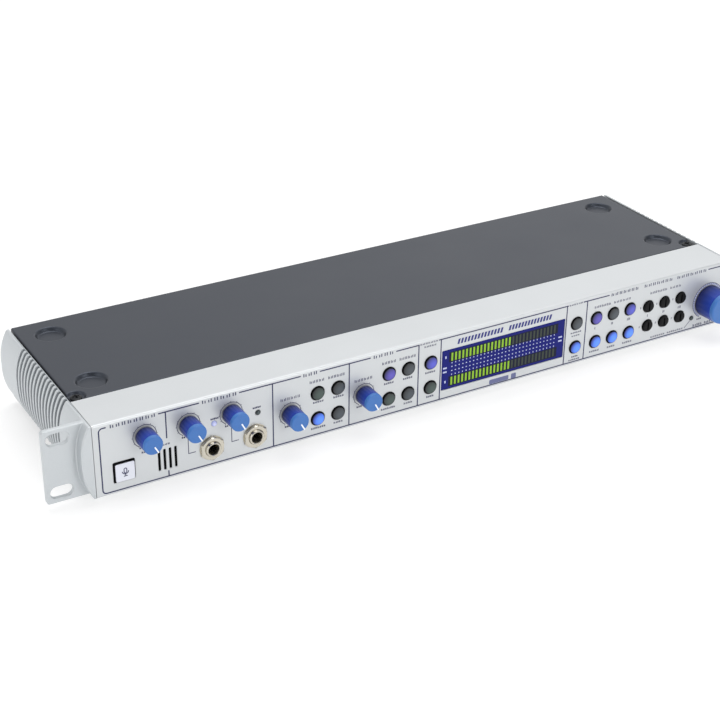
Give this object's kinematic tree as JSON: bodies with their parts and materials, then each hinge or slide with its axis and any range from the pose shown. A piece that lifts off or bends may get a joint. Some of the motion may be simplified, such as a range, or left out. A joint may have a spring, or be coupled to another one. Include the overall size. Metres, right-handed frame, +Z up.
{
  "type": "rack audio interface",
  "caption": "One-unit rack audio interface and monitor controller with finned end cheeks, knobs, lit push buttons, trimmers, a bar meter and headphone sockets.",
  "frame": {"origin": "centre of the bounding box on the plane that the feet stand on", "axes": "+X to the right of a person facing the front panel, along the rack width; +Y from front panel to rear; +Z up"},
  "size_m": [0.4826, 0.1532, 0.048],
  "materials": {
    "silver_panel": "satin anodised, light silver",
    "silver_cheek": "satin silver casting",
    "charcoal_steel": "fine-textured charcoal paint",
    "black_screw": "black oxide",
    "nickel": "nickel plate",
    "window": "clear blue acrylic",
    "board": "green solder mask",
    "copper": "enamelled winding",
    "black_plastic": "matt black",
    "rubber": "matt black",
    "knob_blue": "satin blue aluminium cap colour",
    "button_cap": "translucent blue when lit",
    "white_cap": "satin white"
  },
  "bodies": {
    "chassis": {"front_panel": "silver_panel", "top_cover": "charcoal_steel", "bottom_tray": "charcoal_steel", "rear_panel": "charcoal_steel", "right_end_cheek": "silver_cheek", "left_end_cheek": "silver_cheek", "left_front_foot": "rubber", "left_rear_foot": "rubber", "right_front_foot": "rubber", "right_rear_foot": "rubber", "left_cover_screw": "black_screw", "right_cover_screw": "black_screw", "phones_1_jack": "nickel", "phones_2_jack": "nickel", "meter_window": "window", "meter_board": "board", "talkback_microphone": "nickel", "control_board": "board", "main_board": "board", "power_transformer": "copper", "mains_inlet": "black_plastic", "power_switch_frame": "black_plastic", "remote_connector": "nickel", "talkback_output_socket": "nickel", "optical_ports": "black_plastic", "line_jack_bank_1": "black_plastic", "line_jack_bank_2": "black_plastic", "coaxial_sockets": "nickel"},
    "talkback_knob": {"talkback_knob": "knob_blue"},
    "phones_1_knob": {"phones_1_knob": "knob_blue"},
    "phones_2_knob": {"phones_2_knob": "knob_blue"},
    "cue_knob": {"cue_knob": "knob_blue"},
    "aux_knob": {"aux_knob": "knob_blue"},
    "main_knob": {"main_knob": "knob_blue"},
    "cue_source_1_button": {"cue_source_1_button": "button_cap"},
    "cue_source_2_button": {"cue_source_2_button": "button_cap"},
    "cue_source_3_button": {"cue_source_3_button": "button_cap"},
    "cue_source_4_button": {"cue_source_4_button": "button_cap"},
    "main_source_1_button": {"main_source_1_button": "button_cap"},
    "main_source_2_button": {"main_source_2_button": "button_cap"},
    "main_source_3_button": {"main_source_3_button": "button_cap"},
    "main_source_4_button": {"main_source_4_button": "button_cap"},
    "digital_input_button": {"digital_input_button": "button_cap"},
    "digital_clock_button": {"digital_clock_button": "button_cap"},
    "meter_source_button": {"meter_source_button": "button_cap"},
    "meter_hold_button": {"meter_hold_button": "button_cap"},
    "speaker_1_button": {"speaker_1_button": "button_cap"},
    "speaker_2_button": {"speaker_2_button": "button_cap"},
    "speaker_3_button": {"speaker_3_button": "button_cap"},
    "mute_button": {"mute_button": "button_cap"},
    "dim_button": {"dim_button": "button_cap"},
    "mono_button": {"mono_button": "button_cap"},
    "talkback_button": {"talkback_button": "white_cap"},
    "speaker_1_left_trim": {"speaker_1_left_trim": "black_plastic"},
    "speaker_2_left_trim": {"speaker_2_left_trim": "black_plastic"},
    "speaker_3_left_trim": {"speaker_3_left_trim": "black_plastic"},
    "speaker_1_right_trim": {"speaker_1_right_trim": "black_plastic"},
    "speaker_2_right_trim": {"speaker_2_right_trim": "black_plastic"},
    "speaker_3_right_trim": {"speaker_3_right_trim": "black_plastic"},
    "power_rocker": {"power_rocker": "black_plastic"}
  },
  "joints": [
    {"name": "talkback_knob_turn", "type": "hinge", "parent": "chassis", "child": "talkback_knob", "pos_m": [-0.1874, -0.0661, 0.0345], "axis": [0, 1, 0], "range_deg": [-300, 0]},
    {"name": "phones_1_knob_turn", "type": "hinge", "parent": "chassis", "child": "phones_1_knob", "pos_m": [-0.1623, -0.0661, 0.0342], "axis": [0, 1, 0], "range_deg": [-300, 0]},
    {"name": "phones_2_knob_turn", "type": "hinge", "parent": "chassis", "child": "phones_2_knob", "pos_m": [-0.137, -0.0661, 0.0342], "axis": [0, 1, 0], "range_deg": [-300, 0]},
    {"name": "cue_knob_turn", "type": "hinge", "parent": "chassis", "child": "cue_knob", "pos_m": [-0.1009, -0.0661, 0.0238], "axis": [0, 1, 0], "range_deg": [-300, 0]},
    {"name": "aux_knob_turn", "type": "hinge", "parent": "chassis", "child": "aux_knob", "pos_m": [-0.0537, -0.0661, 0.0234], "axis": [0, 1, 0], "range_deg": [-300, 0]},
    {"name": "main_knob_turn", "type": "hinge", "parent": "chassis", "child": "main_knob", "pos_m": [0.2018, -0.0661, 0.0235], "axis": [0, 1, 0], "range_deg": [-300, 0]},
    {"name": "cue_source_1_button_press", "type": "slide", "parent": "chassis", "child": "cue_source_1_button", "axis": [0, 1, 0], "range_m": [0, 0.0008], "stiffness_N_per_m": 400, "springref_m": -0.0005},
    {"name": "cue_source_2_button_press", "type": "slide", "parent": "chassis", "child": "cue_source_2_button", "axis": [0, 1, 0], "range_m": [0, 0.0008], "stiffness_N_per_m": 400, "springref_m": -0.0005},
    {"name": "cue_source_3_button_press", "type": "slide", "parent": "chassis", "child": "cue_source_3_button", "axis": [0, 1, 0], "range_m": [0, 0.0008], "stiffness_N_per_m": 400, "springref_m": -0.0005},
    {"name": "cue_source_4_button_press", "type": "slide", "parent": "chassis", "child": "cue_source_4_button", "axis": [0, 1, 0], "range_m": [0, 0.0008], "stiffness_N_per_m": 400, "springref_m": -0.0005},
    {"name": "main_source_1_button_press", "type": "slide", "parent": "chassis", "child": "main_source_1_button", "axis": [0, 1, 0], "range_m": [0, 0.0008], "stiffness_N_per_m": 400, "springref_m": -0.0005},
    {"name": "main_source_2_button_press", "type": "slide", "parent": "chassis", "child": "main_source_2_button", "axis": [0, 1, 0], "range_m": [0, 0.0008], "stiffness_N_per_m": 400, "springref_m": -0.0005},
    {"name": "main_source_3_button_press", "type": "slide", "parent": "chassis", "child": "main_source_3_button", "axis": [0, 1, 0], "range_m": [0, 0.0008], "stiffness_N_per_m": 400, "springref_m": -0.0005},
    {"name": "main_source_4_button_press", "type": "slide", "parent": "chassis", "child": "main_source_4_button", "axis": [0, 1, 0], "range_m": [0, 0.0008], "stiffness_N_per_m": 400, "springref_m": -0.0005},
    {"name": "digital_input_button_press", "type": "slide", "parent": "chassis", "child": "digital_input_button", "axis": [0, 1, 0], "range_m": [0, 0.0008], "stiffness_N_per_m": 400, "springref_m": -0.0005},
    {"name": "digital_clock_button_press", "type": "slide", "parent": "chassis", "child": "digital_clock_button", "axis": [0, 1, 0], "range_m": [0, 0.0008], "stiffness_N_per_m": 400, "springref_m": -0.0005},
    {"name": "meter_source_button_press", "type": "slide", "parent": "chassis", "child": "meter_source_button", "axis": [0, 1, 0], "range_m": [0, 0.0008], "stiffness_N_per_m": 400, "springref_m": -0.0005},
    {"name": "meter_hold_button_press", "type": "slide", "parent": "chassis", "child": "meter_hold_button", "axis": [0, 1, 0], "range_m": [0, 0.0008], "stiffness_N_per_m": 400, "springref_m": -0.0005},
    {"name": "speaker_1_button_press", "type": "slide", "parent": "chassis", "child": "speaker_1_button", "axis": [0, 1, 0], "range_m": [0, 0.0008], "stiffness_N_per_m": 400, "springref_m": -0.0005},
    {"name": "speaker_2_button_press", "type": "slide", "parent": "chassis", "child": "speaker_2_button", "axis": [0, 1, 0], "range_m": [0, 0.0008], "stiffness_N_per_m": 400, "springref_m": -0.0005},
    {"name": "speaker_3_button_press", "type": "slide", "parent": "chassis", "child": "speaker_3_button", "axis": [0, 1, 0], "range_m": [0, 0.0008], "stiffness_N_per_m": 400, "springref_m": -0.0005},
    {"name": "mute_button_press", "type": "slide", "parent": "chassis", "child": "mute_button", "axis": [0, 1, 0], "range_m": [0, 0.0008], "stiffness_N_per_m": 400, "springref_m": -0.0005},
    {"name": "dim_button_press", "type": "slide", "parent": "chassis", "child": "dim_button", "axis": [0, 1, 0], "range_m": [0, 0.0008], "stiffness_N_per_m": 400, "springref_m": -0.0005},
    {"name": "mono_button_press", "type": "slide", "parent": "chassis", "child": "mono_button", "axis": [0, 1, 0], "range_m": [0, 0.0008], "stiffness_N_per_m": 400, "springref_m": -0.0005},
    {"name": "talkback_button_press", "type": "slide", "parent": "chassis", "child": "talkback_button", "axis": [0, 1, 0], "range_m": [0, 0.0008], "stiffness_N_per_m": 400, "springref_m": -0.0005},
    {"name": "speaker_1_left_trim_turn", "type": "hinge", "parent": "chassis", "child": "speaker_1_left_trim", "pos_m": [0.1524, -0.0601, 0.0305], "axis": [0, 1, 0], "range_deg": [-135, 135]},
    {"name": "speaker_2_left_trim_turn", "type": "hinge", "parent": "chassis", "child": "speaker_2_left_trim", "pos_m": [0.1654, -0.0601, 0.0305], "axis": [0, 1, 0], "range_deg": [-135, 135]},
    {"name": "speaker_3_left_trim_turn", "type": "hinge", "parent": "chassis", "child": "speaker_3_left_trim", "pos_m": [0.1785, -0.0601, 0.0305], "axis": [0, 1, 0], "range_deg": [-135, 135]},
    {"name": "speaker_1_right_trim_turn", "type": "hinge", "parent": "chassis", "child": "speaker_1_right_trim", "pos_m": [0.1529, -0.0601, 0.0171], "axis": [0, 1, 0], "range_deg": [-135, 135]},
    {"name": "speaker_2_right_trim_turn", "type": "hinge", "parent": "chassis", "child": "speaker_2_right_trim", "pos_m": [0.166, -0.0601, 0.0171], "axis": [0, 1, 0], "range_deg": [-135, 135]},
    {"name": "speaker_3_right_trim_turn", "type": "hinge", "parent": "chassis", "child": "speaker_3_right_trim", "pos_m": [0.1791, -0.0601, 0.0171], "axis": [0, 1, 0], "range_deg": [-135, 135]},
    {"name": "power_rocker_tilt", "type": "hinge", "parent": "chassis", "child": "power_rocker", "pos_m": [0.152, 0.0654, 0.025], "axis": [1, 0, 0], "range_deg": [-16, 0]}
  ]
}
